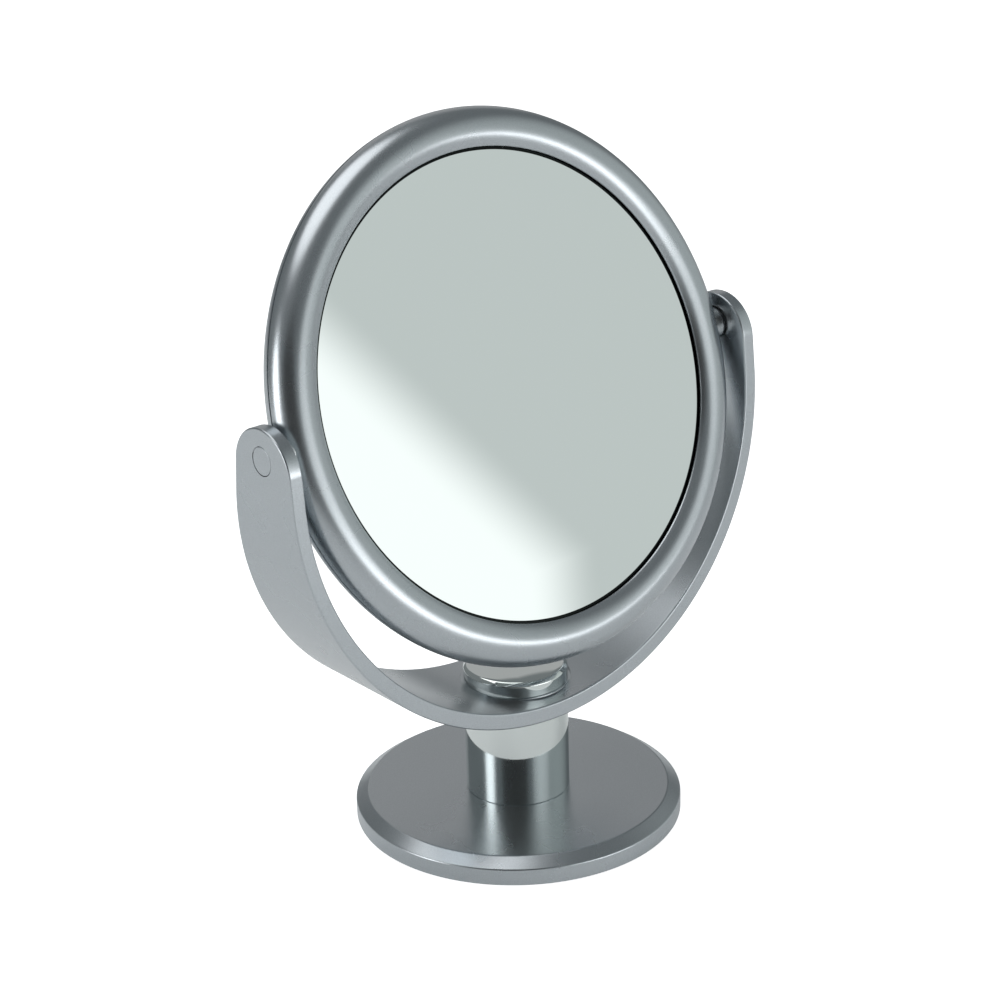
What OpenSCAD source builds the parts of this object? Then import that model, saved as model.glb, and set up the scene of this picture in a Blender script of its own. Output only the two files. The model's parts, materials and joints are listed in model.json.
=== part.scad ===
// Free-standing two-sided shaving mirror: a weighted round foot, a short
// bright tube, a tapering band yoke and a round head that turns over
// between the arms. Z is up, the front faces -Y, the pivot axis lies along X,
// and the origin is the middle of the foot's underside.

/* [Foot] */
// Diameter of the foot
base_d = 104; // [86:1:130]
// Height of the foot's flat top above the table
base_h = 8.5; // [8.2:0.1:12]
// Width of the bevel around the foot's top
base_bevel_w = 4; // [2:0.5:8]
// Height of that bevel
base_bevel_h = 2.7; // [1.5:0.1:3.5]
// Thickness of the foot cover's top
base_top_t = 2.5; // [2:0.1:2.8]
// Thickness of the foot cover's rim
base_rim_t = 3.2; // [2.4:0.1:5]
// Gap under the cover's rim, so that only the pad touches the table
rim_lift = 0.4; // [0.2:0.1:0.8]
// Thickness of the soft pad
pad_t = 1; // [0.8:0.1:1.5]
// Distance from the weight's rim in to the circle of its screws
screw_inset = 14.5; // [8:0.5:18]

/* [Post] */
// Diameter of the bright tube and of the cap above it
post_d = 33; // [27:0.5:40]
// Length of the tube
post_len = 33; // [25:1:80]
// Wall of the tube
post_wall = 1.2; // [0.8:0.1:2]
// Height of the plugs inside the tube
plug_h = 8; // [5:0.5:12]
// Diameter of the tie bolt
bolt_d = 6; // [5:0.5:8]
// Overall height of the cap
cap_h = 6.2; // [5.5:0.1:8]

/* [Yoke] */
// Thickness of the yoke's band
yoke_t = 4.5; // [3.6:0.1:6]
// Half the band's width at its floor
floor_half_w = 22.6; // [18:0.2:30]
// Half the band's width at the arm ends
arm_half_w = 13.5; // [11:0.1:17]
// Room between the turning head and the yoke's floor
floor_room = 12.3; // [10:0.1:40]
// Distance from the pivot axis to the tip of each arm
arm_tip = 9.8; // [8:0.1:12]
// Thickness of the band in the middle of its floor
floor_t = 5.1; // [4.6:0.1:6.2]
// Depth of the flat seat for the tube in the band's round underside
seat_depth = 1.3; // [0.6:0.1:1.7]
// How far the flat seats for the tube and the cap run past them
flat_margin = 1; // [0.5:0.1:3]

/* [Head] */
// Outside diameter of the head
head_d = 170; // [140:1:206]
// Thickness of the head, which is also the rim's round section
head_t = 15.4; // [12.8:0.1:18.6]
// How much of that round section the opening cuts away
lip_cut = 2.4; // [2:0.1:3]
// Wall of the two rim shells
shell_t = 2; // [1.6:0.1:2.4]
// Thickness of the flat glass
glass_t = 3; // [2.5:0.1:3.6]
// Thickness of the magnifying glass
magnifier_t = 2; // [1.6:0.1:2.4]
// Gap between the two glasses at their middles
glass_gap = 1.04; // [0.6:0.02:1.2]
// How far the glass lies below the rim's lip
lip_h = 1; // [0.8:0.1:1.4]
// How far each glass reaches under the lip
glass_overlap = 3; // [2:0.1:3.6]
// Angle that the head leans back at rest
lean = 20; // [0:1:30]

/* [Pivots] */
// Gap between the head's rim and each arm
arm_gap = 1.5; // [1.2:0.1:3]
// Diameter of the pivot pins
pin_d = 5; // [4:0.5:6]
// Diameter of the pins' flush heads
pin_head_d = 8.6; // [7:0.1:10.4]
// Thickness of the pins' heads
pin_head_t = 1.6; // [1.2:0.1:2]
// Outside diameter of the bushes' collars
collar_d = 11; // [9.4:0.1:13]
// Diameter of the bushes' sleeves
sleeve_d = 8; // [7.2:0.1:9]
// Thickness of each pivot washer
washer_t = 0.45; // [0.3:0.05:0.5]

/* [Fits] */
// Gap of a sliding or dropped-in fit
slip = 0.1; // [0.05:0.01:0.15]
// Radial gap between a pin and its bush
running_gap = 0.03; // [0.02:0.01:0.08]
// Fine gap around a pin's head
head_gap = 0.2; // [0.1:0.05:0.3]

/* [Hidden] */
$fn = 128;
fine_fn = 256;
curve_fn = 1440;
eps = 0.01;
cut = 1; // how far a cutting shape runs past the face that it opens
room = 2 * slip; // gap around a piece that only needs room
base_r = base_d / 2;
post_r = post_d / 2;
head_r = head_d / 2;
bolt_hole_r = bolt_d / 2 + room;

// foot
cover_underside_z = base_h - base_top_t;
bevel_start_z = base_h - base_bevel_h;
cavity_r = base_r - base_rim_t;
pad_ledge = 0.9;
pad_r = cavity_r + pad_ledge;
weight_r = cavity_r - room - slip;
weight_top_z = cover_underside_z - room;
screw_count = 3;
screw_circle_r = weight_r - screw_inset;
screw_r = 1.25;
screw_boss_r = 3;
screw_boss_z = pad_t + 1.6;
screw_head_r = 4.5;
screw_head_t = 1.2;
screw_head_z = screw_boss_z - screw_head_t - slip;
screw_bite = 1.2;

// tie bolt stack, from the cover's underside down
flat_washer_r = bolt_d / 2 + 8;
flat_washer_t = 1.2;
weight_bore_r = flat_washer_r + 3;
lock_washer_r = bolt_d / 2 + 2.2;
lock_washer_t = 1.2;
lock_washer_slot = 0.8;
lock_washer_z = cover_underside_z - flat_washer_t - lock_washer_t;
bolt_head_r = bolt_d / 2 + 3;
bolt_head_t = 1.8;
bolt_head_z = lock_washer_z - bolt_head_t;
bolt_socket_w = 4;
bolt_socket_depth = 1.2;

// post
post_top_z = base_h + post_len;
post_inner_r = post_r - post_wall;
plug_r = post_inner_r - slip;
spigot_r = bolt_hole_r + 2.8;
spigot_bore_r = spigot_r + slip / 2;
lower_spigot_h = 1.4;
upper_spigot_h = yoke_t - 1;

// yoke
floor_z = post_top_z + yoke_t;
seat_r = post_r + flat_margin;
pivot_z = floor_z + floor_room + head_r;
inner_x = head_r + arm_gap;
outer_x = inner_x + yoke_t;
band_low_z = post_top_z - seat_depth;
outer_bend_z = band_low_z + outer_x;
inner_bend_z = band_low_z + floor_t + inner_x;
arm_end_z = pivot_z + arm_tip - arm_half_w;

// cap
cap_wall = 2.5;
cap_recess_r = post_r - cap_wall;
cap_washer_t = 0.8;
cap_bevel = 1.1;
cap_dome_h = 1.1;
nut_r = bolt_d / 2 + 2.2;
nut_t = 4.2;
nut_z = floor_z + cap_washer_t;
bolt_end_z = nut_z + nut_t - 0.4;

// head, in its own frame: the head's axis is Z and its front faces +Z
section_r = head_t / 2;
section_x = head_r - section_r;
hollow_r = section_r - shell_t;
aperture_r = head_r - head_t + lip_cut;
lip_top_z = sqrt(pow(section_r, 2) - pow(section_x - aperture_r, 2));
glass_face_z = lip_top_z - lip_h;
glass_r = aperture_r + glass_overlap;
pocket_r = glass_r + 1.5 * slip;
glass_back_z = glass_face_z - glass_t;
magnifier_dish = glass_back_z + glass_face_z - magnifier_t - glass_gap;
magnifier_r = (pow(glass_r, 2) + pow(magnifier_dish, 2)) / (2 * magnifier_dish);
foam_t = 0.6;
foam_r = glass_r - 0.5;
spacer_inner_r = glass_r - 5;
spacer_top_z = glass_back_z - foam_t;
magnifier_rise = (pow(glass_r, 2) - pow(spacer_inner_r, 2)) / (2 * magnifier_r);
rear_foam_z = -glass_face_z + magnifier_t + magnifier_rise + slip / 2;
spacer_z = rear_foam_z + foam_t;
seam = 0.3;
tongue_t = 1;
tongue_h = 1.4;
tongue_r = section_x + sqrt(pow(hollow_r, 2) - pow(tongue_h, 2)) - slip;
tongue_root_z = sqrt(pow(hollow_r, 2) - pow(tongue_r - tongue_t / 2 - section_x, 2));

// pivots
block_x = glass_r + 1;
block_half_w = collar_d / 2 + 2.5;
counterbore_x = section_x + sqrt(pow(section_r, 2) - pow(collar_d / 2, 2)) - seam;
pin_end_x = block_x + 1;
pin_bore_r = pin_d / 2 + running_gap;
wave_washer_x = inner_x - washer_t;
friction_washer_x = wave_washer_x - washer_t;
bush_end_x = friction_washer_x - slip / 2;
friction_washer_r = collar_d / 2 - 0.3;
wave_washer_r = collar_d / 2 - 0.8;

// A ring or, with no bore, a disc standing on height z
module ring(outer_r, inner_r, z, t) {
    translate([0, 0, z]) difference() {
        cylinder(r = outer_r, h = t);
        if (inner_r > 0) translate([0, 0, -cut]) cylinder(r = inner_r, h = t + 2 * cut);
    }
}

// A rod on the pivot axis, on side -1 or 1, between two distances from the middle
module pivot_rod(side, r, near, far) {
    translate([side * near, 0, pivot_z]) rotate([0, side * 90, 0]) cylinder(r = r, h = far - near);
}

// Places what is drawn about the head's own axis at the head's rest pose
module on_head() {
    translate([0, 0, pivot_z]) rotate([90 - lean, 0, 0]) children();
}

// Repeats its children at the foot's screws
module at_screws() {
    for (i = [0 : screw_count - 1])
        rotate([0, 0, 90 + i * 360 / screw_count]) translate([screw_circle_r, 0, 0]) children();
}

// ---- foot -------------------------------------------------------------

module base_cover() {
    color("silver") difference() {
        union() {
            difference() {
                rotate_extrude($fn = fine_fn) polygon([
                    [0, rim_lift], [base_r, rim_lift], [base_r, bevel_start_z],
                    [base_r - base_bevel_w, base_h], [0, base_h]]);
                translate([0, 0, -cut]) cylinder(r = cavity_r, h = cover_underside_z + cut);
                translate([0, 0, -cut]) cylinder(r = pad_r + slip, h = pad_t + cut);
            }
            at_screws() ring(screw_boss_r, 0, screw_boss_z, cover_underside_z - screw_boss_z + eps);
        }
        at_screws() translate([0, 0, screw_boss_z - cut])
            cylinder(r = screw_r, h = cover_underside_z + screw_bite - screw_boss_z + cut);
        translate([0, 0, cover_underside_z - cut]) cylinder(r = bolt_hole_r, h = base_top_t + 2 * cut);
        translate([0, 0, base_h - lower_spigot_h - slip])
            cylinder(r = spigot_bore_r, h = lower_spigot_h + slip + cut);
    }
}

module base_weight() {
    color("dimgray") difference() {
        ring(weight_r, weight_bore_r, pad_t, weight_top_z - pad_t);
        at_screws() {
            translate([0, 0, pad_t - cut]) cylinder(r = screw_boss_r + room, h = base_h);
            translate([0, 0, pad_t - cut]) cylinder(r = screw_head_r + room, h = screw_boss_z - pad_t + cut);
        }
    }
}

module base_pad() {
    color("darkslategray") ring(pad_r, 0, 0, pad_t);
}

module weight_screws() {
    shank_z = screw_head_z + screw_head_t - eps;
    color("lightsteelblue") at_screws() {
        ring(screw_head_r, 0, screw_head_z, screw_head_t);
        ring(screw_r, 0, shank_z, cover_underside_z + screw_bite - slip - shank_z);
    }
}

module tie_bolt() {
    color("lightsteelblue") difference() {
        union() {
            ring(bolt_head_r, 0, bolt_head_z, bolt_head_t);
            ring(bolt_d / 2, 0, bolt_head_z, bolt_end_z - bolt_head_z);
        }
        translate([0, 0, bolt_head_z - cut])
            cylinder(d = bolt_socket_w / cos(30), h = bolt_socket_depth + cut, $fn = 6);
    }
}

module flat_washer() {
    color("lightsteelblue")
        ring(flat_washer_r, bolt_hole_r, cover_underside_z - flat_washer_t, flat_washer_t);
}

// Split spring washer, pressed flat
module lock_washer() {
    color("lightsteelblue") difference() {
        ring(lock_washer_r, bolt_hole_r, lock_washer_z, lock_washer_t);
        translate([-lock_washer_slot / 2, 0, lock_washer_z - cut])
            cube([lock_washer_slot, lock_washer_r + cut, lock_washer_t + 2 * cut]);
    }
}

// ---- post -------------------------------------------------------------

module post_tube() {
    color("gainsboro") ring(post_r, post_inner_r, base_h, post_len);
}

// Plug on height z with a spigot that centres the tube
module plug(z, spigot_z, spigot_h) {
    color("black") difference() {
        union() {
            ring(plug_r, 0, z, plug_h);
            ring(spigot_r, 0, spigot_z, spigot_h);
        }
        translate([0, 0, z - plug_h]) cylinder(r = bolt_hole_r, h = 3 * plug_h);
    }
}

module lower_plug() {
    plug(base_h, base_h - lower_spigot_h, lower_spigot_h + eps);
}

module upper_plug() {
    plug(post_top_z - plug_h, post_top_z - eps, upper_spigot_h + eps);
}

// ---- yoke and cap -----------------------------------------------------

// Solid U outline in X and Z, with the middle of its bend at height bend_z
module u_outline(r, bend_z) {
    union() {
        translate([0, bend_z]) circle(r = r, $fn = fine_fn);
        translate([-r, bend_z]) square([2 * r, pivot_z + arm_tip + cut - bend_z]);
    }
}

// Outline of the band in Y and Z: a taper that runs into round arm ends
module side_outline() {
    foot_z = band_low_z - cut;
    reach = sqrt(pow(floor_half_w, 2) + pow(arm_end_z - foot_z, 2));
    turn = asin(arm_half_w / reach) - atan(floor_half_w / (arm_end_z - foot_z));
    touch = [arm_half_w * cos(turn), arm_end_z - arm_half_w * sin(turn)];
    union() {
        translate([0, arm_end_z]) circle(r = arm_half_w);
        polygon([[-floor_half_w, foot_z], [floor_half_w, foot_z], touch, [-touch[0], touch[1]]]);
    }
}

module yoke() {
    color("silver") difference() {
        union() {
            intersection() {
                translate([0, floor_half_w + cut, 0]) rotate([90, 0, 0])
                    linear_extrude(2 * (floor_half_w + cut)) difference() {
                        u_outline(outer_x, outer_bend_z);
                        u_outline(inner_x, inner_bend_z);
                    }
                translate([-outer_x - cut, 0, 0]) rotate([90, 0, 90])
                    linear_extrude(2 * (outer_x + cut)) side_outline();
            }
            translate([0, 0, post_top_z]) cylinder(r = post_r + flat_margin / 2, h = yoke_t);
        }
        translate([0, 0, band_low_z - cut]) cylinder(r = seat_r, h = seat_depth + cut);
        translate([0, 0, floor_z]) cylinder(r = seat_r, h = cap_h);
        translate([0, 0, post_top_z - cut]) cylinder(r = spigot_bore_r, h = yoke_t + 2 * cut);
        for (side = [-1, 1]) {
            pivot_rod(side, pin_d / 2, inner_x - cut, outer_x + cut);
            pivot_rod(side, pin_head_d / 2 + head_gap, outer_x - pin_head_t, outer_x + cut);
        }
    }
}

module cap() {
    side_h = cap_h - cap_dome_h - cap_bevel;
    dome_r = post_r - cap_bevel;
    dome_sphere_r = (pow(dome_r, 2) + pow(cap_dome_h, 2)) / (2 * cap_dome_h);
    color("gainsboro") translate([0, 0, floor_z]) difference() {
        union() {
            rotate_extrude() polygon([[0, 0], [post_r, 0], [post_r, side_h],
                [dome_r, side_h + cap_bevel], [0, side_h + cap_bevel]]);
            intersection() {
                translate([0, 0, cap_h - dome_sphere_r]) sphere(r = dome_sphere_r, $fn = 2 * fine_fn);
                translate([0, 0, side_h + cap_bevel - eps]) cylinder(r = dome_r, h = cap_dome_h + cut);
            }
        }
        translate([0, 0, -cut]) cylinder(r = cap_recess_r, h = cut + cap_washer_t);
        translate([0, 0, -cut]) cylinder(r = nut_r, h = cut + cap_washer_t + nut_t);
    }
}

// Round threaded insert pressed into the cap
module cap_nut() {
    color("goldenrod") ring(nut_r, bolt_d / 2, nut_z, nut_t);
}

module cap_washer() {
    color("black") ring(cap_recess_r - slip, bolt_hole_r, floor_z, cap_washer_t);
}

// ---- head -------------------------------------------------------------

// Half section of the front rim shell; the rear one mirrors it
module rim_section() {
    difference() {
        intersection() {
            translate([section_x, 0]) circle(r = section_r);
            translate([aperture_r, 0]) square([head_t, section_r]);
        }
        translate([section_x, 0]) circle(r = hollow_r);
        translate([0, -cut]) square([pocket_r, glass_face_z + cut]);
        translate([head_r - seam, -cut]) square([seam + cut, seam + cut]);
    }
}

// Solid blocks inside the rim that hold the bushes
module pivot_blocks() {
    for (side = [-1, 1]) intersection() {
        rotate_extrude() intersection() {
            translate([section_x, 0]) circle(r = section_r - shell_t / 2);
            translate([block_x, 0]) square([head_r - block_x, section_r]);
        }
        translate([side > 0 ? block_x : -head_r, -block_half_w, 0])
            cube([head_r - block_x, 2 * block_half_w, section_r]);
    }
}

// Bores for the bushes, along the head's X axis
module bush_bores() {
    for (side = [-1, 1]) rotate([0, side * 90, 0]) {
        translate([0, 0, block_x - cut]) cylinder(r = sleeve_d / 2, h = head_r);
        translate([0, 0, counterbore_x]) cylinder(r = collar_d / 2, h = head_r);
    }
}

module rim_shell() {
    difference() {
        union() {
            rotate_extrude($fn = fine_fn) rim_section();
            pivot_blocks();
        }
        bush_bores();
    }
}

// Front shell, with a tongue that snaps inside the rear shell past its blocks
module front_rim() {
    color("silver") on_head() {
        rim_shell();
        difference() {
            rotate_extrude($fn = fine_fn) translate([tongue_r - tongue_t, -tongue_h])
                square([tongue_t, tongue_h + tongue_root_z]);
            bush_bores();
            for (side = [-1, 1])
                translate([side > 0 ? block_x : -head_r, -block_half_w - slip, -tongue_h - cut])
                    cube([head_r - block_x, 2 * (block_half_w + slip), tongue_h + cut]);
        }
    }
}

module rear_rim() {
    color("silver") on_head() mirror([0, 0, 1]) rim_shell();
}

module flat_glass() {
    color("azure") on_head() ring(glass_r, 0, glass_back_z, glass_t);
}

// Magnifying glass: a disc whose two faces share one curve, hollow side out
module magnifying_glass() {
    centre_z = -glass_face_z - sqrt(pow(magnifier_r, 2) - pow(glass_r, 2));
    color("azure") on_head() rotate_extrude($fn = fine_fn) intersection() {
        translate([0, -head_t]) square([glass_r, 2 * head_t]);
        difference() {
            translate([0, centre_z + magnifier_t]) circle(r = magnifier_r, $fn = curve_fn);
            translate([0, centre_z]) circle(r = magnifier_r, $fn = curve_fn);
        }
    }
}

module spacer_ring() {
    color("dimgray") on_head() ring(glass_r, spacer_inner_r, spacer_z, spacer_top_z - spacer_z);
}

module front_foam_ring() {
    color("ivory") on_head() ring(foam_r, spacer_inner_r, spacer_top_z, foam_t);
}

module rear_foam_ring() {
    color("ivory") on_head() ring(foam_r, spacer_inner_r, rear_foam_z, foam_t);
}

// ---- pivots -----------------------------------------------------------

// Pin pressed into an arm, with a flush head, running in the head's bush
module pivot_pin(side) {
    color("silver") {
        pivot_rod(side, pin_d / 2, pin_end_x, outer_x);
        pivot_rod(side, pin_head_d / 2, outer_x - pin_head_t, outer_x);
    }
}

module left_pivot_pin() {
    pivot_pin(-1);
}

module right_pivot_pin() {
    pivot_pin(1);
}

// Bush held by both rim shells, with a collar that shows beside the arm
module pivot_bush(side) {
    color("gainsboro") difference() {
        union() {
            pivot_rod(side, sleeve_d / 2, block_x, counterbore_x + eps);
            pivot_rod(side, collar_d / 2, counterbore_x, bush_end_x);
        }
        pivot_rod(side, pin_bore_r, block_x - cut, bush_end_x + cut);
    }
}

module left_pivot_bush() {
    pivot_bush(-1);
}

module right_pivot_bush() {
    pivot_bush(1);
}

// One washer on each pin, from distance x outwards
module pivot_washers(r, x) {
    for (side = [-1, 1]) difference() {
        pivot_rod(side, r, x, x + washer_t);
        pivot_rod(side, pin_bore_r, x - cut, x + washer_t + cut);
    }
}

module friction_washers() {
    color("black") pivot_washers(friction_washer_r, friction_washer_x);
}

module wave_washers() {
    color("lightsteelblue") pivot_washers(wave_washer_r, wave_washer_x);
}

base_cover();
base_weight();
base_pad();
weight_screws();
tie_bolt();
flat_washer();
lock_washer();
post_tube();
lower_plug();
upper_plug();
yoke();
cap();
cap_nut();
cap_washer();
front_rim();
rear_rim();
flat_glass();
magnifying_glass();
spacer_ring();
front_foam_ring();
rear_foam_ring();
left_pivot_pin();
right_pivot_pin();
left_pivot_bush();
right_pivot_bush();
friction_washers();
wave_washers();
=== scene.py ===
import json
from math import asin, atan2, cos, hypot, pi, radians, sin, sqrt

import bmesh
import bpy
from mathutils import Matrix, Vector


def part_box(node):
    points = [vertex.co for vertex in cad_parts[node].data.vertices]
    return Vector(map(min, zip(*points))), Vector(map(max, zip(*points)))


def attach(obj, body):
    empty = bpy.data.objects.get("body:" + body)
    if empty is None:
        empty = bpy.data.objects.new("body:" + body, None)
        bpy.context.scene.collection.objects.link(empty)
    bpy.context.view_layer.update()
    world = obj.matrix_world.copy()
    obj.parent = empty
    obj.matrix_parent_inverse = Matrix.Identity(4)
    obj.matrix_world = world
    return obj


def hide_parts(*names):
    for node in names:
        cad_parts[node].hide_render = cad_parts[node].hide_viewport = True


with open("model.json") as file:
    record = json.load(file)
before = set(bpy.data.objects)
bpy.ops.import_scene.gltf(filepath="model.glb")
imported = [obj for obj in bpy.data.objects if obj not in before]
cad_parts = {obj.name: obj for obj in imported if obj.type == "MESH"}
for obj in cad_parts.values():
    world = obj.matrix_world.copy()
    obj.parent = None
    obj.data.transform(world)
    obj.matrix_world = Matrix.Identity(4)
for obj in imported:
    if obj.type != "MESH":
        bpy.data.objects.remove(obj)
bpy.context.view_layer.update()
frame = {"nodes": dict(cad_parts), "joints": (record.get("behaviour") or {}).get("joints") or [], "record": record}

MM = 0.001

# ---- sizes, read from the frame or named here -------------------------------

cover_low, cover_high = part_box("base_cover")
pad_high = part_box("base_pad")[1]
tube_low, tube_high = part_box("post_tube")
cap_low, cap_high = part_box("cap")
yoke_low, yoke_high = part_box("yoke")
glass_low, glass_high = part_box("flat_glass")
pin_low, pin_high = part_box("right_pivot_pin")
bush_low, bush_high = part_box("right_pivot_bush")
pivot = Vector(frame["joints"][0]["pos_m"])

# foot
FOOT_BEVEL_WIDTH = 4.0 * MM
FOOT_BEVEL_HEIGHT = 2.7 * MM
FOOT_EDGE_ROUND = 0.35 * MM
PAD_GAP = 0.1 * MM

# post and cap
TUBE_WALL = 1.2 * MM
TUBE_EDGE_ROUND = 0.3 * MM
CAP_BEVEL = 1.1 * MM
CAP_DOME = 1.1 * MM
CAP_EDGE_ROUND = 0.25 * MM

# yoke
BAND = cap_low.z - tube_high.z
FLOOR_THICKNESS = 5.1 * MM
FLOOR_HALF_WIDTH = yoke_high.y
SEAT_RADIUS = cap_high.x + 1.0 * MM
BOSS_RADIUS = cap_high.x + 0.5 * MM
ARM_HALF_WIDTH = 13.5 * MM
ARM_END = yoke_high.z - ARM_HALF_WIDTH
SPARE_ABOVE_ARMS = 1 * MM
INNER_X = yoke_high.x - BAND
OUTER_BEND_Z = yoke_low.z + yoke_high.x
INNER_BEND_Z = yoke_low.z + FLOOR_THICKNESS + INNER_X
BAND_EDGE_ROUND = 0.55 * MM

# head, whose own axis is Z with its front face up before it is tilted
ARM_GAP = 1.5 * MM
HEAD_RADIUS = INNER_X - ARM_GAP
SECTION = 7.7 * MM
SHELL = 2.0 * MM
SEAM = 0.3 * MM
LIP_HEIGHT = 1.0 * MM
LIP_ROUND = 0.25 * MM
LIP_SHADOW_GAP = 0.35 * MM
LIP_SHADOW_DEPTH = 1.2 * MM
GLASS_RADIUS = glass_high.x
APERTURE = GLASS_RADIUS - 3.0 * MM
SECTION_CENTRE = HEAD_RADIUS - SECTION
LIP_TOP = sqrt(SECTION ** 2 - (SECTION_CENTRE - APERTURE) ** 2)
GLASS_FACE = LIP_TOP - LIP_HEIGHT
FLAT_GLASS = 3.0 * MM
# the dark strip round the mirror next to the lip is painted shade, a painted shadow of the gap under the lip: its
# width, and the fade at its inner edge
PAINTED_SHADE_WIDTH = 0.95 * MM
PAINTED_SHADE_FADE = 0.04 * MM
GLASS_ARRIS = 0.4 * MM
MAGNIFIER = 2.0 * MM
GLASS_GAP = 1.04 * MM
MAGNIFIER_DISH = 2 * GLASS_FACE - FLAT_GLASS - MAGNIFIER - GLASS_GAP
MAGNIFIER_CURVE = (GLASS_RADIUS ** 2 + MAGNIFIER_DISH ** 2) / (2 * MAGNIFIER_DISH)
glass_middle = (glass_low + glass_high) / 2
LEAN = atan2(glass_middle.z - pivot.z, -glass_middle.y)

# pivots
PIN_RADIUS = 2.5 * MM
PIN_HEAD_RADIUS = pin_high.y
PIN_HEAD = 1.6 * MM
PIN_HEAD_GAP = 0.2 * MM
PIN_BORE = PIN_RADIUS + 0.03 * MM
SLEEVE_RADIUS = 4.0 * MM
COLLAR_RADIUS = bush_high.y
COLLAR_LENGTH = 3.16 * MM
PIVOT_EDGE_ROUND = 0.2 * MM

# how finely shapes are cut and joined
TURN_STEPS = 256
SMALL_TURN_STEPS = 96
ARC_STEPS = 40
DOME_ARC_STEPS = 12
MAGNIFIER_ARC_STEPS = 24
BEND_STEPS = 96
ARM_END_STEPS = 24
ROUND_SEGMENTS = 4
SHARP_ANGLE = radians(35)
CORNER_ANGLE = radians(60)
TURN_JOIN = 0.001 * MM
BAND_JOIN = 0.01 * MM
ON_PLANE = 0.0001 * MM


# ---- shared shading effects --------------------------------------------------

def effect_group(name, inputs, outputs):
    """An empty shader node group with float inputs {name: default} and named outputs {name: socket type}."""
    group = bpy.data.node_groups.new(name, "ShaderNodeTree")
    for label, default in inputs.items():
        socket = group.interface.new_socket(label, in_out="INPUT", socket_type="NodeSocketFloat")
        socket.default_value = default
    for label, kind in outputs.items():
        group.interface.new_socket(label, in_out="OUTPUT", socket_type=kind)
    return group, group.nodes.new("NodeGroupInput"), group.nodes.new("NodeGroupOutput")


def metallic_grain():
    """The grain of a satin finish: fine flakes, and a softer cloud that varies over centimetres."""
    group, given, result = effect_group(
        "metallic_grain", {"Flake Scale": 3200.0, "Cloud Scale": 40.0},
        {"Flake": "NodeSocketFloat", "Cloud": "NodeSocketFloat"})
    place = group.nodes.new("ShaderNodeTexCoord")
    for label, scale, detail in (("Flake", "Flake Scale", 1.0), ("Cloud", "Cloud Scale", 3.0)):
        noise = group.nodes.new("ShaderNodeTexNoise")
        noise.inputs["Detail"].default_value = detail
        group.links.new(place.outputs["Object"], noise.inputs["Vector"])
        group.links.new(given.outputs[scale], noise.inputs["Scale"])
        group.links.new(noise.outputs["Fac"], result.inputs[label])
    return group


def turned_rings():
    """Fine rings round an axis along X, as a lathe leaves them: a 0 to 1 value."""
    group, given, result = effect_group(
        "turned_rings", {"Ring Scale": 1500.0}, {"Ring": "NodeSocketFloat"})
    place = group.nodes.new("ShaderNodeTexCoord")
    wave = group.nodes.new("ShaderNodeTexWave")
    wave.wave_type = "BANDS"
    wave.bands_direction = "X"
    wave.inputs["Distortion"].default_value = 1.5
    group.links.new(place.outputs["Object"], wave.inputs["Vector"])
    group.links.new(given.outputs["Ring Scale"], wave.inputs["Scale"])
    group.links.new(wave.outputs["Fac"], result.inputs["Ring"])
    return group


GRAIN = metallic_grain()
RINGS = turned_rings()


# ---- materials ---------------------------------------------------------------

SURFACE_IOR = 1.5
# a noise's values lie mostly between these two
SOURCE_LOW, SOURCE_HIGH = 0.3, 0.7


class Finish:
    """A material with one Principled shader, and short ways to link nodes to it."""

    def __init__(self, name, colour, metallic, roughness):
        self.material = bpy.data.materials.new(name)
        self.material.use_nodes = True
        self.nodes = self.material.node_tree.nodes
        self.links = self.material.node_tree.links
        self.shader = self.nodes["Principled BSDF"]
        self.put("Base Color", (*colour, 1.0))
        self.put("Metallic", metallic)
        self.put("Roughness", roughness)
        self.put("IOR", SURFACE_IOR)

    def put(self, socket, value):
        self.shader.inputs[socket].default_value = value

    def effect(self, group, **values):
        node = self.nodes.new("ShaderNodeGroup")
        node.node_tree = group
        for label, value in values.items():
            node.inputs[label.replace("_", " ")].default_value = value
        return node

    def noise(self, scale, detail=3.0):
        place = self.nodes.new("ShaderNodeTexCoord")
        node = self.nodes.new("ShaderNodeTexNoise")
        node.inputs["Scale"].default_value = scale
        node.inputs["Detail"].default_value = detail
        self.links.new(place.outputs["Object"], node.inputs["Vector"])
        return node.outputs["Fac"]

    def vary(self, source, socket, low, high):
        """Feeds a 0 to 1 source to a shader value between low and high."""
        spread = self.nodes.new("ShaderNodeMapRange")
        spread.inputs["From Min"].default_value = SOURCE_LOW
        spread.inputs["From Max"].default_value = SOURCE_HIGH
        spread.inputs["To Min"].default_value = low
        spread.inputs["To Max"].default_value = high
        self.links.new(source, spread.inputs["Value"])
        self.links.new(spread.outputs["Result"], self.shader.inputs[socket])

    def tint(self, source, dark, light):
        """Feeds a 0 to 1 source to the colour, between two colours."""
        ramp = self.nodes.new("ShaderNodeValToRGB")
        ramp.color_ramp.elements[0].position = SOURCE_LOW
        ramp.color_ramp.elements[0].color = (*dark, 1.0)
        ramp.color_ramp.elements[1].position = SOURCE_HIGH
        ramp.color_ramp.elements[1].color = (*light, 1.0)
        self.links.new(source, ramp.inputs["Fac"])
        self.links.new(ramp.outputs["Color"], self.shader.inputs["Base Color"])

    def bump(self, source, strength, distance):
        node = self.nodes.new("ShaderNodeBump")
        node.inputs["Strength"].default_value = strength
        node.inputs["Distance"].default_value = distance
        self.links.new(source, node.inputs["Height"])
        self.links.new(node.outputs["Normal"], self.shader.inputs["Normal"])


def satin_nickel():
    finish = Finish("satin_nickel", (0.48, 0.515, 0.54), 1.0, 0.28)
    grain = finish.effect(GRAIN)
    finish.tint(grain.outputs["Flake"], (0.45, 0.483, 0.507), (0.51, 0.547, 0.573))
    finish.vary(grain.outputs["Cloud"], "Roughness", 0.265, 0.295)
    finish.bump(grain.outputs["Flake"], 0.1, 0.01 * MM)
    return finish.material


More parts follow.
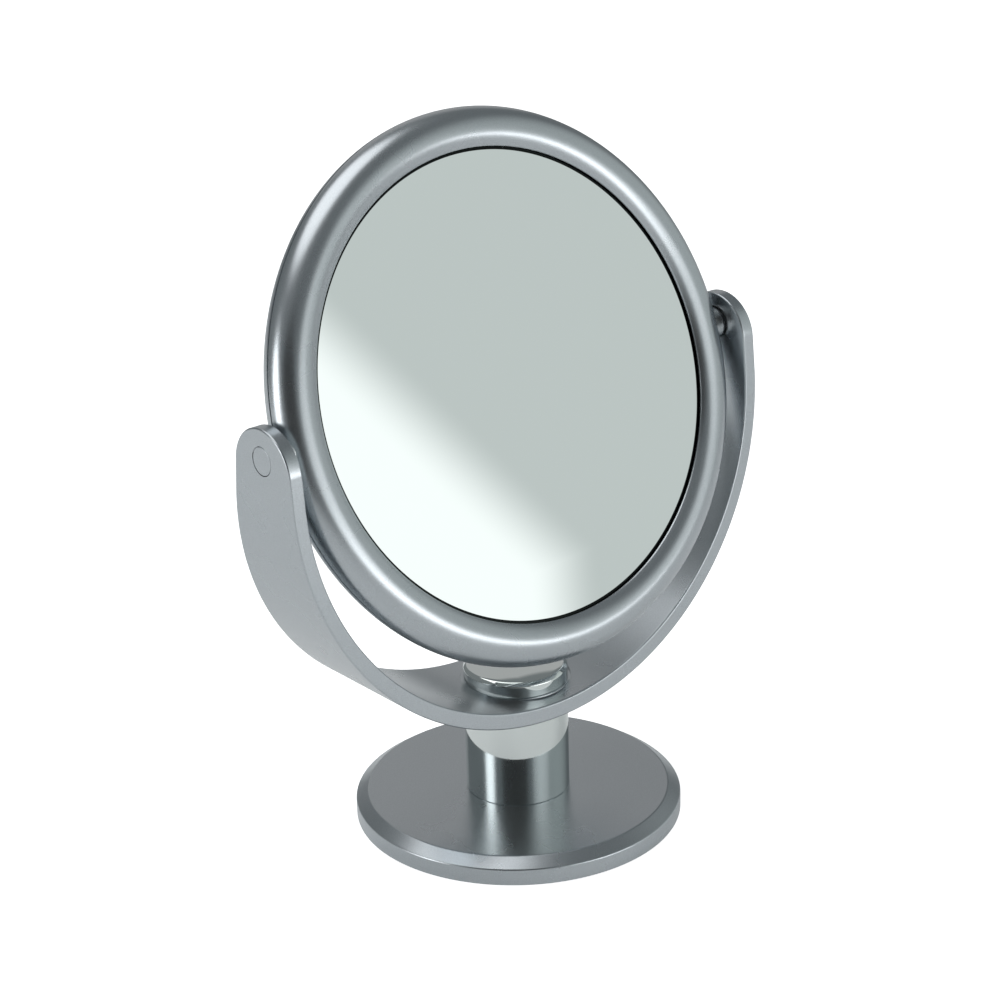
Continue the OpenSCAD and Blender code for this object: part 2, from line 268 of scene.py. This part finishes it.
def bright_chrome():
    finish = Finish("bright_chrome", (0.73, 0.775, 0.765), 1.0, 0.04)
    finish.vary(finish.noise(60.0), "Roughness", 0.025, 0.055)
    return finish.material


def bush_metal():
    finish = Finish("bush_metal", (0.78, 0.79, 0.79), 1.0, 0.16)
    rings = finish.effect(RINGS)
    finish.vary(rings.outputs["Ring"], "Roughness", 0.12, 0.2)
    finish.bump(rings.outputs["Ring"], 0.15, 0.02 * MM)
    return finish.material


def mirror_glass():
    finish = Finish("mirror_glass", (0.86, 0.90, 0.89), 1.0, 0.0)
    finish.vary(finish.noise(25.0), "Roughness", 0.0, 0.012)
    # the strip next to the lip is painted near black: painted shade for the shadow under the lip
    lip_shade_mask = finish.nodes.new("ShaderNodeAttribute")
    lip_shade_mask.attribute_name = "painted_lip_shade"
    finish.tint(lip_shade_mask.outputs["Fac"], (0.86, 0.90, 0.89), (0.012, 0.014, 0.014))
    return finish.material


def plain_finish(name, dark, light, metallic, roughness, grain_scale, relief):
    """A hidden or small piece's finish: grain in the colour, the gloss and the relief."""
    finish = Finish(name, light, metallic, roughness)
    grain = finish.noise(grain_scale)
    finish.tint(grain, dark, light)
    finish.vary(grain, "Roughness", roughness * 0.85, min(1.0, roughness * 1.15))
    finish.bump(grain, 0.4, relief)
    return finish.material


finishes = {
    "satin_nickel": satin_nickel(),
    "bright_chrome": bright_chrome(),
    "bush_metal": bush_metal(),
    "mirror_glass": mirror_glass(),
}
# name, dark and light of the grain, metallic, roughness, grain scale, relief
for name, *look in (
        ("cast_weight", (0.10, 0.10, 0.105), (0.19, 0.19, 0.20), 1.0, 0.7, 900, 0.15 * MM),
        ("pad_rubber", (0.035, 0.04, 0.045), (0.06, 0.065, 0.07), 0.0, 0.85, 2200, 0.08 * MM),
        ("plated_steel", (0.52, 0.54, 0.57), (0.64, 0.65, 0.66), 1.0, 0.3, 1500, 0.01 * MM),
        ("brass_insert", (0.62, 0.46, 0.2), (0.74, 0.57, 0.28), 1.0, 0.28, 1500, 0.01 * MM),
        ("black_nylon", (0.014, 0.014, 0.016), (0.03, 0.03, 0.033), 0.0, 0.45, 1800, 0.02 * MM),
        ("white_foam", (0.74, 0.74, 0.72), (0.86, 0.86, 0.84), 0.0, 0.95, 2600, 0.15 * MM)):
    finishes[name] = plain_finish(name, *look)


# ---- making pieces -----------------------------------------------------------

def verts_of(geometry):
    return [part for part in geometry if isinstance(part, bmesh.types.BMVert)]


def mesh_from(name, bm):
    """Turns a finished bmesh into a mesh and frees it."""
    mesh = bpy.data.meshes.new(name)
    bm.to_mesh(mesh)
    bm.free()
    return mesh


def add_object(name, data):
    made = bpy.data.objects.new(name, data)
    bpy.context.scene.collection.objects.link(made)
    return made


def line(bm, start, r, z):
    """Adds a straight stretch to a profile in the XZ plane and returns its end."""
    end = bm.verts.new((r, 0, z))
    bm.edges.new((start, end))
    return end


def arc(bm, start, centre_r, centre_z, turn, steps):
    """Carries a profile on round a centre, clockwise for a positive turn, and returns its end."""
    made = bmesh.ops.spin(bm, geom=[start], cent=(centre_r, 0, centre_z), axis=(0, 1, 0),
                          angle=turn, steps=steps, use_duplicate=False)
    return verts_of(made["geom_last"])[0]


def round_corners(bm, corners, radius):
    bmesh.ops.bevel(bm, geom=corners, offset=radius, offset_type="OFFSET", segments=ROUND_SEGMENTS,
                    profile=0.5, affect="VERTICES", material=-1)


def turn_profile(bm, steps):
    """Turns the whole profile once about Z and closes the seam and the poles."""
    bmesh.ops.spin(bm, geom=bm.verts[:] + bm.edges[:], cent=(0, 0, 0), axis=(0, 0, 1),
                   angle=2 * pi, steps=steps, use_merge=True, use_duplicate=False)
    bmesh.ops.remove_doubles(bm, verts=bm.verts, dist=TURN_JOIN)
    bmesh.ops.recalc_face_normals(bm, faces=bm.faces)


def turned(corners, rounding, steps=TURN_STEPS):
    """A turned solid: (radius, height, rounded or not) corners, closed unless both ends are on the axis."""
    bm = bmesh.new()
    points = [bm.verts.new((r, 0, z)) for r, z, _ in corners]
    for start, end in zip(points, points[1:]):
        bm.edges.new((start, end))
    if corners[0][0] > 0:
        bm.edges.new((points[-1], points[0]))
    round_corners(bm, [point for point, corner in zip(points, corners) if corner[2]], rounding)
    turn_profile(bm, steps)
    return bm


def piece(name, bm, body, slot, *stands_for):
    """Turns a finished bmesh into a shaded object that rides on its body."""
    mesh = mesh_from(name, bm)
    mesh.shade_smooth()
    mesh.set_sharp_from_angle(angle=SHARP_ANGLE)
    mesh.materials.append(finishes[slot])
    made = add_object(name, mesh)
    weighted = made.modifiers.new("even_shading", "WEIGHTED_NORMAL")
    weighted.keep_sharp = True
    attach(made, body)
    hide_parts(*stands_for)
    return made


def on_pivot(bm, side):
    """Lays a piece drawn along Z on the pivot axis, pointing to side -1 or 1."""
    bm.transform(Matrix.Translation(pivot) @ Matrix.Rotation(side * pi / 2, 4, "Y"))


def on_head(bm, facing=1):
    """Moves a piece drawn about the head's axis to the head, facing 1 for the front or -1 for the rear."""
    tilt = Matrix.Rotation(pi / 2 - LEAN, 4, "X")
    turn = Matrix.Rotation(0 if facing > 0 else pi, 4, "X")
    bm.transform(Matrix.Translation(pivot) @ tilt @ turn)


# ---- foot and post -----------------------------------------------------------

def foot_cover():
    radius, top, bottom = cover_high.x, cover_high.z, cover_low.z
    pad_edge = pad_high.x + PAD_GAP
    bm = turned([(0, top, False), (radius - FOOT_BEVEL_WIDTH, top, True),
                 (radius, top - FOOT_BEVEL_HEIGHT, True), (radius, bottom, True),
                 (pad_edge, bottom, False), (pad_edge, pad_high.z, False), (0, pad_high.z, False)],
                FOOT_EDGE_ROUND)
    return piece("foot_cover", bm, "stand", "satin_nickel", "base_cover")


def tube():
    outer, inner = tube_high.x, tube_high.x - TUBE_WALL
    bm = turned([(inner, tube_low.z, False), (outer, tube_low.z, True),
                 (outer, tube_high.z, True), (inner, tube_high.z, False)], TUBE_EDGE_ROUND)
    return piece("bright_tube", bm, "stand", "bright_chrome", "post_tube")


def cap():
    radius, bottom, top = cap_high.x, cap_low.z, cap_high.z
    dome_radius = radius - CAP_BEVEL
    dome_edge = top - CAP_DOME
    sphere = (dome_radius ** 2 + CAP_DOME ** 2) / (2 * CAP_DOME)
    bm = bmesh.new()
    crown = bm.verts.new((0, 0, top))
    rim = arc(bm, crown, 0, top - sphere, asin(dome_radius / sphere), DOME_ARC_STEPS)
    shoulder = line(bm, rim, radius, dome_edge - CAP_BEVEL)
    foot = line(bm, shoulder, radius, bottom)
    line(bm, foot, 0, bottom)
    round_corners(bm, [rim, shoulder, foot], CAP_EDGE_ROUND)
    turn_profile(bm, TURN_STEPS)
    return piece("post_cap", bm, "stand", "bright_chrome", "cap")


# ---- yoke --------------------------------------------------------------------

def u_path(bm, radius, bend_z, top_z):
    """Half of the U's outline in XZ, from its middle up to top_z, at the front of the band."""
    front = -FLOOR_HALF_WIDTH
    middle = bm.verts.new((0, front, bend_z - radius))
    made = bmesh.ops.spin(bm, geom=[middle], cent=(0, front, bend_z), axis=(0, 1, 0),
                          angle=-pi / 2, steps=BEND_STEPS, use_duplicate=False)
    side = verts_of(made["geom_last"])[0]
    tip = bm.verts.new((radius, front, top_z))
    bm.edges.new((side, tip))


def slice_off(bm, point, normal):
    """Cuts away what lies past a plane and closes the cut."""
    cut = bmesh.ops.bisect_plane(bm, geom=bm.verts[:] + bm.edges[:] + bm.faces[:], dist=ON_PLANE,
                                 plane_co=point, plane_no=normal, clear_outer=True)
    edges = [part for part in cut["geom_cut"] if isinstance(part, bmesh.types.BMEdge)]
    bmesh.ops.edgeloop_fill(bm, edges=edges)


def disc(radius, low, high, steps):
    """A round tool about Z between two heights."""
    bm = bmesh.new()
    bmesh.ops.create_cone(bm, cap_ends=True, segments=steps, depth=high - low, radius1=radius,
                          radius2=radius, matrix=Matrix.Translation((0, 0, (low + high) / 2)))
    return bm


def machine(blank, tool_bm, operation):
    """Cuts a tool out of a piece, or joins it on."""
    mesh = mesh_from("tool", tool_bm)
    tool = add_object("tool", mesh)
    step = blank.modifiers.new("machining", "BOOLEAN")
    step.object = tool
    step.solver = "EXACT"
    step.operation = operation
    bm = bmesh.new()
    bm.from_mesh(blank.evaluated_get(bpy.context.evaluated_depsgraph_get()).to_mesh())
    blank.modifiers.remove(step)
    bm.to_mesh(blank.data)
    bm.free()
    bpy.data.objects.remove(tool)
    bpy.data.meshes.remove(mesh)


def yoke():
    top_z = yoke_high.z + SPARE_ABOVE_ARMS
    bm = bmesh.new()
    u_path(bm, INNER_X, INNER_BEND_Z, top_z)
    u_path(bm, yoke_high.x, OUTER_BEND_Z, top_z)
    bmesh.ops.mirror(bm, geom=bm.verts[:] + bm.edges[:], axis="X", merge_dist=BAND_JOIN)
    bmesh.ops.remove_doubles(bm, verts=bm.verts, dist=BAND_JOIN)
    band = bmesh.ops.bridge_loops(bm, edges=bm.edges[:])
    swept = bmesh.ops.extrude_face_region(bm, geom=band["faces"], use_keep_orig=True)
    bmesh.ops.translate(bm, verts=verts_of(swept["geom"]), vec=(0, 2 * FLOOR_HALF_WIDTH, 0))
    bmesh.ops.recalc_face_normals(bm, faces=bm.faces)

    # both sides taper along a line that touches the round arm ends
    rise = ARM_END - yoke_low.z
    slope = asin(ARM_HALF_WIDTH / hypot(FLOOR_HALF_WIDTH, rise)) - atan2(FLOOR_HALF_WIDTH, rise)
    for side in (-1, 1):
        for step in range(ARM_END_STEPS + 1):
            angle = -slope + (pi / 2 + slope) * step / ARM_END_STEPS
            normal = Vector((0, side * cos(angle), sin(angle)))
            slice_off(bm, Vector((0, 0, ARM_END)) + normal * ARM_HALF_WIDTH, normal)
    bmesh.ops.recalc_face_normals(bm, faces=bm.faces)

    corners = [edge for edge in bm.edges if edge.is_manifold and edge.calc_face_angle() > CORNER_ANGLE]
    bmesh.ops.bevel(bm, geom=corners, offset=BAND_EDGE_ROUND, offset_type="OFFSET", segments=ROUND_SEGMENTS,
                    profile=0.5, affect="EDGES", material=-1, clamp_overlap=True)
    made = piece("yoke_band", bm, "stand", "satin_nickel", "yoke")

    # flat seats for the tube and the cap, then the recesses for the pins' heads
    seat_low, seat_high = tube_high.z, cap_low.z
    machine(made, disc(SEAT_RADIUS, seat_high, seat_high + BAND, TURN_STEPS), "DIFFERENCE")
    machine(made, disc(SEAT_RADIUS, seat_low - BAND, seat_low, TURN_STEPS), "DIFFERENCE")
    machine(made, disc(BOSS_RADIUS, seat_low, seat_high, TURN_STEPS), "UNION")
    for side in (-1, 1):
        recess = disc(PIN_HEAD_RADIUS + PIN_HEAD_GAP, yoke_high.x - PIN_HEAD, yoke_high.x + BAND,
                      SMALL_TURN_STEPS)
        on_pivot(recess, side)
        machine(made, recess, "DIFFERENCE")
    made.data.set_sharp_from_angle(angle=SHARP_ANGLE)
    return made


# ---- head --------------------------------------------------------------------

def rim_shell(name, facing, node):
    """One half of the rim: a hollow half ring with a lip over its glass and a step at the seam."""
    offset = SECTION_CENTRE - APERTURE
    hollow = SECTION - SHELL
    lip_turn = pi - atan2(LIP_TOP, offset)
    seam_turn = asin(SEAM / SECTION)
    root_angle = asin(GLASS_FACE / hollow)
    bm = bmesh.new()
    shelf = bm.verts.new((APERTURE + LIP_SHADOW_DEPTH, 0, GLASS_FACE))
    gap_end = line(bm, shelf, APERTURE + LIP_SHADOW_DEPTH, GLASS_FACE + LIP_SHADOW_GAP)
    under_lip = line(bm, gap_end, APERTURE, GLASS_FACE + LIP_SHADOW_GAP)
    lip = line(bm, under_lip, APERTURE, LIP_TOP)
    edge = arc(bm, lip, SECTION_CENTRE, 0, lip_turn - seam_turn, ARC_STEPS)
    step = line(bm, edge, HEAD_RADIUS - SEAM, SEAM)
    foot = line(bm, step, HEAD_RADIUS - SEAM, 0)
    wall = line(bm, foot, SECTION_CENTRE + hollow, 0)
    root = arc(bm, wall, SECTION_CENTRE, 0, root_angle - pi, ARC_STEPS // 2)
    bm.edges.new((root, shelf))
    round_corners(bm, [lip], LIP_ROUND)
    turn_profile(bm, TURN_STEPS)
    on_head(bm, facing)
    return piece(name, bm, "head", "satin_nickel", node)


def mark_painted_shade(bm):
    """Marks the strip next to the lip that the mirror's finish paints near black: painted shade for the shadow in
    the gap under the lip.
    """
    layer = bm.verts.layers.float.new("painted_lip_shade")
    for vert in bm.verts:
        vert[layer] = 1.0 if hypot(vert.co.x, vert.co.y) > APERTURE - PAINTED_SHADE_WIDTH else 0.0


def flat_glass():
    back = GLASS_FACE - FLAT_GLASS
    # two extra rings mark the inner edge of the painted shade strip next to the lip
    bm = turned([(0, GLASS_FACE, False), (APERTURE - PAINTED_SHADE_WIDTH - PAINTED_SHADE_FADE, GLASS_FACE, False),
                 (APERTURE - PAINTED_SHADE_WIDTH + PAINTED_SHADE_FADE, GLASS_FACE, False), (GLASS_RADIUS, GLASS_FACE, True),
                 (GLASS_RADIUS, back, True), (0, back, False)], GLASS_ARRIS)
    mark_painted_shade(bm)
    on_head(bm)
    return piece("plain_mirror", bm, "head", "mirror_glass", "flat_glass")


def magnifier():
    """The rear glass, drawn facing up like the front one: its middle lies deeper than its rim."""
    half_angle = asin(GLASS_RADIUS / MAGNIFIER_CURVE)
    face = GLASS_FACE - MAGNIFIER_DISH
    bm = bmesh.new()
    middle = bm.verts.new((0, 0, face))
    rim = arc(bm, middle, 0, face + MAGNIFIER_CURVE, -half_angle, MAGNIFIER_ARC_STEPS)
    rim_back = line(bm, rim, GLASS_RADIUS, rim.co.z - MAGNIFIER)
    arc(bm, rim_back, 0, rim_back.co.z + MAGNIFIER_CURVE * cos(half_angle), half_angle,
        MAGNIFIER_ARC_STEPS)
    turn_profile(bm, TURN_STEPS)
    on_head(bm, -1)
    return piece("magnifying_mirror", bm, "head", "mirror_glass", "magnifying_glass")


# ---- pivots ------------------------------------------------------------------

def pivot_pin(side, name):
    bm = turned([(0, pin_high.x, False), (PIN_HEAD_RADIUS, pin_high.x, True),
                 (PIN_HEAD_RADIUS, pin_high.x - PIN_HEAD, False), (PIN_RADIUS, pin_high.x - PIN_HEAD, False),
                 (PIN_RADIUS, pin_low.x, True), (0, pin_low.x, False)],
                PIVOT_EDGE_ROUND, SMALL_TURN_STEPS)
    on_pivot(bm, side)
    return piece(name + "_pin", bm, "stand", "satin_nickel", name + "_pivot_pin")


def pivot_bush(side, name):
    collar_start = bush_high.x - COLLAR_LENGTH
    bm = turned([(PIN_BORE, bush_low.x, False), (SLEEVE_RADIUS, bush_low.x, True),
                 (SLEEVE_RADIUS, collar_start, False), (COLLAR_RADIUS, collar_start, False),
                 (COLLAR_RADIUS, bush_high.x, True), (PIN_BORE, bush_high.x, True)],
                PIVOT_EDGE_ROUND, SMALL_TURN_STEPS)
    on_pivot(bm, side)
    return piece(name + "_bush", bm, "head", "bush_metal", name + "_pivot_bush")


foot_cover()
tube()
cap()
yoke()
rim_shell("front_rim_shell", 1, "front_rim")
rim_shell("rear_rim_shell", -1, "rear_rim")
flat_glass()
magnifier()
for side, name in ((-1, "left"), (1, "right")):
    pivot_pin(side, name)
    pivot_bush(side, name)

# the CAD nodes that stay get their slot's finish
slot_of = {part["node"]: part["material_slot"] for part in frame["record"]["subparts"]}
for name, node in frame["nodes"].items():
    for socket in node.material_slots:
        socket.material = finishes[slot_of[name]]


# ---- studio ------------------------------------------------------------------

FLOOR_SIZE = 12.0
OWN_GLOW_SEEN = 0.9
OWN_GLOW_GIVEN = 0.22
SOFT_EDGE = 0.12
WHITE = (1.0, 1.0, 1.0)

# the room's light grows from one value to the other as a ray turns to its bright side
ROOM_BRIGHT_SIDE = (122, -2)
ROOM_DIM_FROM, ROOM_DIM = 0.62, (0.2, 0.215, 0.22)
ROOM_BRIGHT_FROM, ROOM_BRIGHT = 0.86, (0.58, 0.62, 0.61)

CAMERA_AZIMUTH = 39.37
CAMERA_ELEVATION = 22.19
CAMERA_ROLL = -1.57
CAMERA_DISTANCE = 832.3 * MM
CAMERA_TARGET = Vector((-2.6, 2.1, 106.1)) * MM
CAMERA_SENSOR = 36.0
CAMERA_LENS = 97.5
CAMERA_REACH = 50.0


def direction(azimuth, elevation):
    """A direction from the mirror in degrees: azimuth 0 is behind, 90 right, 180 front and 270 left."""
    turn, rise = radians(azimuth), radians(elevation)
    return Vector((sin(turn) * cos(rise), cos(turn) * cos(rise), sin(rise)))


def floor():
    """A white floor that looks evenly white, and gives the mirror what the lights leave on it."""
    bm = bmesh.new()
    bmesh.ops.create_grid(bm, x_segments=4, y_segments=4, size=FLOOR_SIZE / 2)
    mesh = mesh_from("floor", bm)
    finish = Finish("white_floor", (0.85, 0.86, 0.86), 0.0, 0.9)
    finish.put("Specular IOR Level", 0.0)
    finish.put("Emission Color", (*WHITE, 1.0))
    seen = finish.nodes.new("ShaderNodeLightPath")
    glow = finish.nodes.new("ShaderNodeMapRange")
    glow.inputs["To Min"].default_value = OWN_GLOW_GIVEN
    glow.inputs["To Max"].default_value = OWN_GLOW_SEEN
    finish.links.new(seen.outputs["Is Camera Ray"], glow.inputs["Value"])
    finish.links.new(glow.outputs["Result"], finish.shader.inputs["Emission Strength"])
    mesh.materials.append(finish.material)
    add_object("floor", mesh)


def math_node(nodes, links, operation, *values):
    """One Math node fed by sockets or plain numbers."""
    node = nodes.new("ShaderNodeMath")
    node.operation = operation
    for socket, value in zip(node.inputs, values):
        if isinstance(value, bpy.types.NodeSocket):
            links.new(value, socket)
        else:
            socket.default_value = value
    return node.outputs["Value"]


def softbox(name, azimuth, elevation, distance, width, height, strength, tint=WHITE, turn=0.0):
    """An eight-sided panel that faces the mirror and fades out at its edges. A dark one is a black flag."""
    bm = bmesh.new()
    bmesh.ops.create_circle(bm, cap_ends=True, segments=8, radius=0.5 / cos(pi / 8),
                            matrix=Matrix.Rotation(pi / 8, 4, "Z"))
    mesh = mesh_from(name, bm)
    material = bpy.data.materials.new(name)
    material.use_nodes = True
    nodes, links = material.node_tree.nodes, material.node_tree.links
    nodes.clear()
    place = nodes.new("ShaderNodeTexCoord")
    split = nodes.new("ShaderNodeSeparateXYZ")
    links.new(place.outputs["Object"], split.inputs["Vector"])
    across = math_node(nodes, links, "ABSOLUTE", split.outputs["X"])
    along = math_node(nodes, links, "ABSOLUTE", split.outputs["Y"])
    straight = math_node(nodes, links, "MAXIMUM", across, along)
    slanted = math_node(nodes, links, "MULTIPLY", math_node(nodes, links, "ADD", across, along), sqrt(0.5))
    fade = nodes.new("ShaderNodeMapRange")
    fade.interpolation_type = "SMOOTHSTEP"
    fade.inputs["From Min"].default_value = 0.5
    fade.inputs["From Max"].default_value = 0.5 * (1 - SOFT_EDGE)
    links.new(math_node(nodes, links, "MAXIMUM", straight, slanted), fade.inputs["Value"])
    glow = nodes.new("ShaderNodeEmission")
    glow.inputs["Color"].default_value = (*tint, 1.0)
    glow.inputs["Strength"].default_value = strength
    clear = nodes.new("ShaderNodeBsdfTransparent")
    mix = nodes.new("ShaderNodeMixShader")
    out = nodes.new("ShaderNodeOutputMaterial")
    links.new(fade.outputs["Result"], mix.inputs["Fac"])
    links.new(clear.outputs["BSDF"], mix.inputs[1])
    links.new(glow.outputs["Emission"], mix.inputs[2])
    links.new(mix.outputs["Shader"], out.inputs["Surface"])
    mesh.materials.append(material)
    panel = add_object(name, mesh)
    towards = direction(azimuth, elevation)
    facing = (-towards).to_track_quat("Z", "Y").to_matrix().to_4x4()
    panel.matrix_world = (Matrix.Translation(pivot + towards * distance) @ facing
                          @ Matrix.Rotation(radians(turn), 4, "Z")
                          @ Matrix.Diagonal((width, height, 1.0, 1.0)))
    panel.visible_camera = False


def camera():
    """The camera, placed by its direction and distance from the middle of the view."""
    data = bpy.data.cameras.new("camera")
    data.sensor_width = CAMERA_SENSOR
    data.lens = CAMERA_LENS
    data.clip_end = CAMERA_REACH
    made = add_object("camera", data)
    turn = (Matrix.Rotation(-radians(CAMERA_AZIMUTH), 4, "Z")
            @ Matrix.Rotation(pi / 2 - radians(CAMERA_ELEVATION), 4, "X")
            @ Matrix.Rotation(radians(CAMERA_ROLL), 4, "Z"))
    back = turn @ Vector((0, 0, CAMERA_DISTANCE))
    made.matrix_world = Matrix.Translation(CAMERA_TARGET + back) @ turn
    bpy.context.scene.camera = made


def surroundings():
    """A pale room, lighter towards the right of the front, behind a plain white background."""
    world = bpy.data.worlds.new("studio")
    world.use_nodes = True
    nodes, links = world.node_tree.nodes, world.node_tree.links
    nodes.clear()
    seen = nodes.new("ShaderNodeBackground")
    seen.inputs["Color"].default_value = (*WHITE, 1.0)
    place = nodes.new("ShaderNodeTexCoord")
    facing = nodes.new("ShaderNodeVectorMath")
    facing.operation = "DOT_PRODUCT"
    facing.inputs[1].default_value = direction(*ROOM_BRIGHT_SIDE)
    links.new(place.outputs["Generated"], facing.inputs[0])
    spread = nodes.new("ShaderNodeValToRGB")
    spread.color_ramp.elements[0].position = ROOM_DIM_FROM
    spread.color_ramp.elements[0].color = (*ROOM_DIM, 1.0)
    spread.color_ramp.elements[1].position = ROOM_BRIGHT_FROM
    spread.color_ramp.elements[1].color = (*ROOM_BRIGHT, 1.0)
    links.new(facing.outputs["Value"], spread.inputs["Fac"])
    room = nodes.new("ShaderNodeBackground")
    links.new(spread.outputs["Color"], room.inputs["Color"])
    ray = nodes.new("ShaderNodeLightPath")
    mix = nodes.new("ShaderNodeMixShader")
    out = nodes.new("ShaderNodeOutputWorld")
    links.new(ray.outputs["Is Camera Ray"], mix.inputs["Fac"])
    links.new(room.outputs["Background"], mix.inputs[1])
    links.new(seen.outputs["Background"], mix.inputs[2])
    links.new(mix.outputs["Shader"], out.inputs["Surface"])
    bpy.context.scene.world = world


floor()
surroundings()
# name, azimuth, elevation, distance, width and height in metres, strength
softbox("front_softbox", 166.8, 5.6, 1.285, 1.09, 1.09, 1.12, tint=(0.97, 1.0, 0.99), turn=20.5)
for panel in (
        ("low_front_softbox", 160, -1, 1.2, 0.95, 0.26, 3.2),
        ("left_softbox", 284, 10, 1.4, 0.66, 0.95, 3.4),
        ("overhead_softbox", 330, 72, 1.3, 1.3, 1.3, 1.8),
        ("rear_softbox", 28, 20, 1.6, 1.5, 1.1, 0.46),
        ("dark_side", 226, 22, 1.7, 1.75, 1.4, 0.05)):
    softbox(*panel)
camera()
bpy.context.scene.view_settings.view_transform = "Standard"
